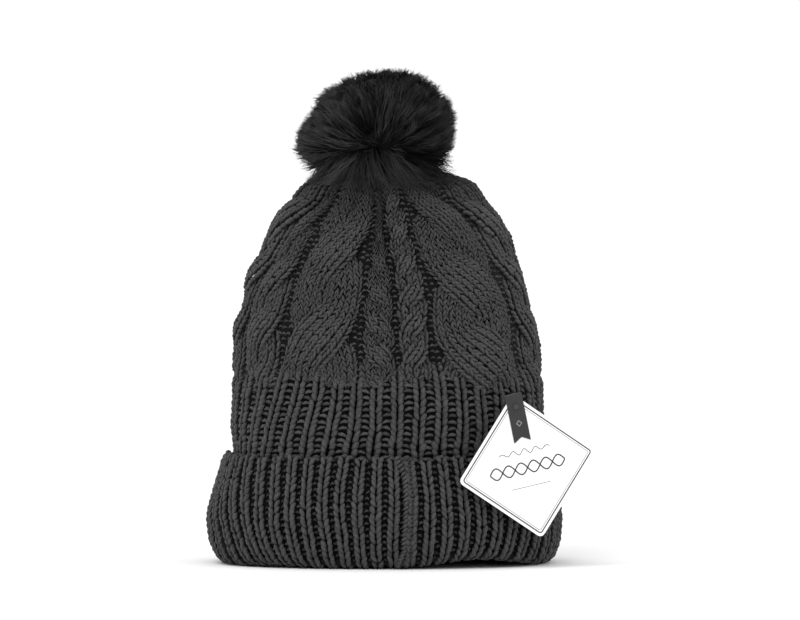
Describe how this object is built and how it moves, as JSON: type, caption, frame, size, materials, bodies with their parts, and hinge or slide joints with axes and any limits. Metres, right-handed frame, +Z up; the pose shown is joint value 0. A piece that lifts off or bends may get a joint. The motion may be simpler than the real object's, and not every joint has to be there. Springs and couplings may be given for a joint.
{
  "type": "pom pom beanie",
  "caption": "Cable-knit winter hat with a folded ribbed cuff, a faux-fur ball tied to the crown and a square card swing tag",
  "frame": {"origin": "centre of the head opening, on the plane that the folded cuff stands on", "axes": "+Z up along the hat to the pom, -Y towards the front with the seam and the tag, +X to the right seen from the front"},
  "size_m": [0.2437, 0.1709, 0.318],
  "materials": {
    "knit_yarn": "matt chunky acrylic knit, charcoal",
    "faux_fur": "long-pile faux fur, near black",
    "fibre_filling": "loose polyester fibre",
    "thread": "spun sewing thread",
    "elastic_cord": "braided elastic cord",
    "black_plastic": "moulded, matt",
    "label_satin": "woven satin ribbon, blank",
    "white_card": "coated white card with a thin printed border",
    "grey_ribbon": "dark grey satin-edged ribbon",
    "nylon": "black nylon tag pin"
  },
  "bodies": {
    "cuff": {"turn_up_cuff": "knit_yarn", "cuff_seam": "knit_yarn"},
    "hat": {"knit_body": "knit_yarn", "body_seam": "knit_yarn", "crown_gather_yarn": "knit_yarn", "tie_cord_lower": "elastic_cord", "anchor_button": "black_plastic", "care_label": "label_satin", "label_stitch_left": "thread", "label_stitch_right": "thread", "tag_pin_bar": "nylon"},
    "pom_tie": {"tie_cord_upper": "elastic_cord"},
    "pom": {"pom_fur_cover": "faux_fur", "pom_filling": "fibre_filling", "pom_base_disc": "black_plastic", "pom_gather_thread": "thread"},
    "tag_pin": {"tag_pin_thread": "nylon"},
    "tag": {"tag_card": "white_card", "tag_ribbon": "grey_ribbon"}
  },
  "joints": [
    {"name": "cuff_turn_down", "type": "slide", "parent": "cuff", "child": "hat", "axis": [0, 0, 1], "range_m": [0, 0.05]},
    {"name": "pom_side_tilt", "type": "hinge", "parent": "hat", "child": "pom_tie", "pos_m": [-0.004, 0, 0.2485], "axis": [0, 1, 0], "range_deg": [-15, 15], "stiffness_Nm_per_rad": 0.08},
    {"name": "pom_nod", "type": "hinge", "parent": "pom_tie", "child": "pom", "pos_m": [-0.004, 0, 0.2485], "axis": [1, 0, 0], "range_deg": [-15, 15], "stiffness_Nm_per_rad": 0.08},
    {"name": "tag_lift", "type": "hinge", "parent": "hat", "child": "tag_pin", "pos_m": [0.078, -0.04873, 0.104], "axis": [-1, 0, 0], "range_deg": [0, 80]},
    {"name": "tag_swing", "type": "hinge", "parent": "tag_pin", "child": "tag", "pos_m": [0.0813, -0.0735, 0.1011], "axis": [-0.2924, 0.9563, 0], "range_deg": [-25, 25]}
  ]
}
